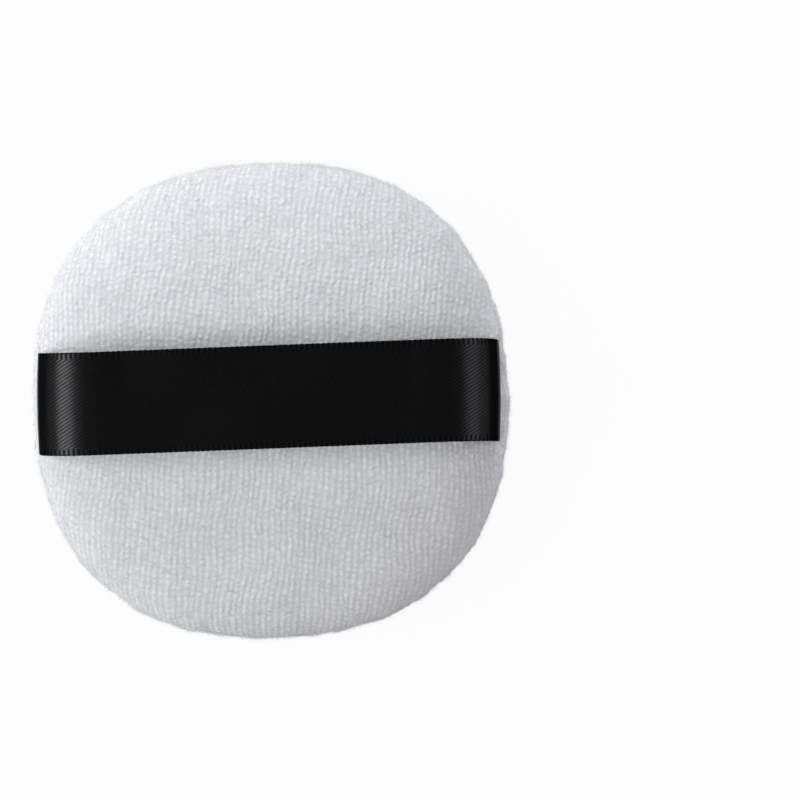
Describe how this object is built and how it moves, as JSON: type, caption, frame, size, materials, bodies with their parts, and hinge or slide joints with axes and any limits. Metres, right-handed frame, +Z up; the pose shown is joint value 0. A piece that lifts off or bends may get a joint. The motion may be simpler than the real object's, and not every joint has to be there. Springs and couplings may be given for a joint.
{
  "type": "powder puff",
  "caption": "Round cushioned powder puff of short-pile velour over a foam core, with a satin ribbon across the back that fingers slip under to press powder on to skin.",
  "frame": {"origin": "middle of the flat rest area of the powder face, on the surface that the puff lies on", "axes": "+Z up through the middle of the pad, out of the ribbon side; +X along the ribbon; +Y across it"},
  "size_m": [0.072, 0.072, 0.0234],
  "materials": {
    "velour": "short-pile white velour, matte",
    "foam": "open-cell foam, matte",
    "thread": "spun polyester sewing thread",
    "satin": "black satin ribbon, soft gloss"
  },
  "bodies": {
    "pad": {"face_cover": "velour", "back_cover": "velour", "foam_core": "foam", "needle_thread": "thread", "bobbin_thread": "thread", "closing_thread": "thread", "ribbon_left_end": "satin", "ribbon_right_end": "satin"},
    "ribbon_middle": {"ribbon_span": "satin"},
    "ribbon_left": {"ribbon_left_flank": "satin"},
    "ribbon_right": {"ribbon_right_flank": "satin"}
  },
  "joints": [
    {"name": "ribbon_lift", "type": "slide", "parent": "pad", "child": "ribbon_middle", "axis": [0, 0, 1], "range_m": [-0.0045, 0.007], "stiffness_N_per_m": 8},
    {"name": "ribbon_left_rise", "type": "hinge", "parent": "pad", "child": "ribbon_left", "pos_m": [-0.0242, 0.0005, 0.0232], "axis": [0, -1, 0], "range_deg": [-18.3, 28.4]},
    {"name": "ribbon_right_rise", "type": "hinge", "parent": "pad", "child": "ribbon_right", "pos_m": [0.0242, 0.0005, 0.0232], "axis": [0, 1, 0], "range_deg": [-18.3, 28.4]}
  ],
  "couplings": [
    {"joint": "ribbon_left_rise", "follows": "ribbon_lift", "rad_per_m": 70.422},
    {"joint": "ribbon_right_rise", "follows": "ribbon_lift", "rad_per_m": 70.422}
  ]
}
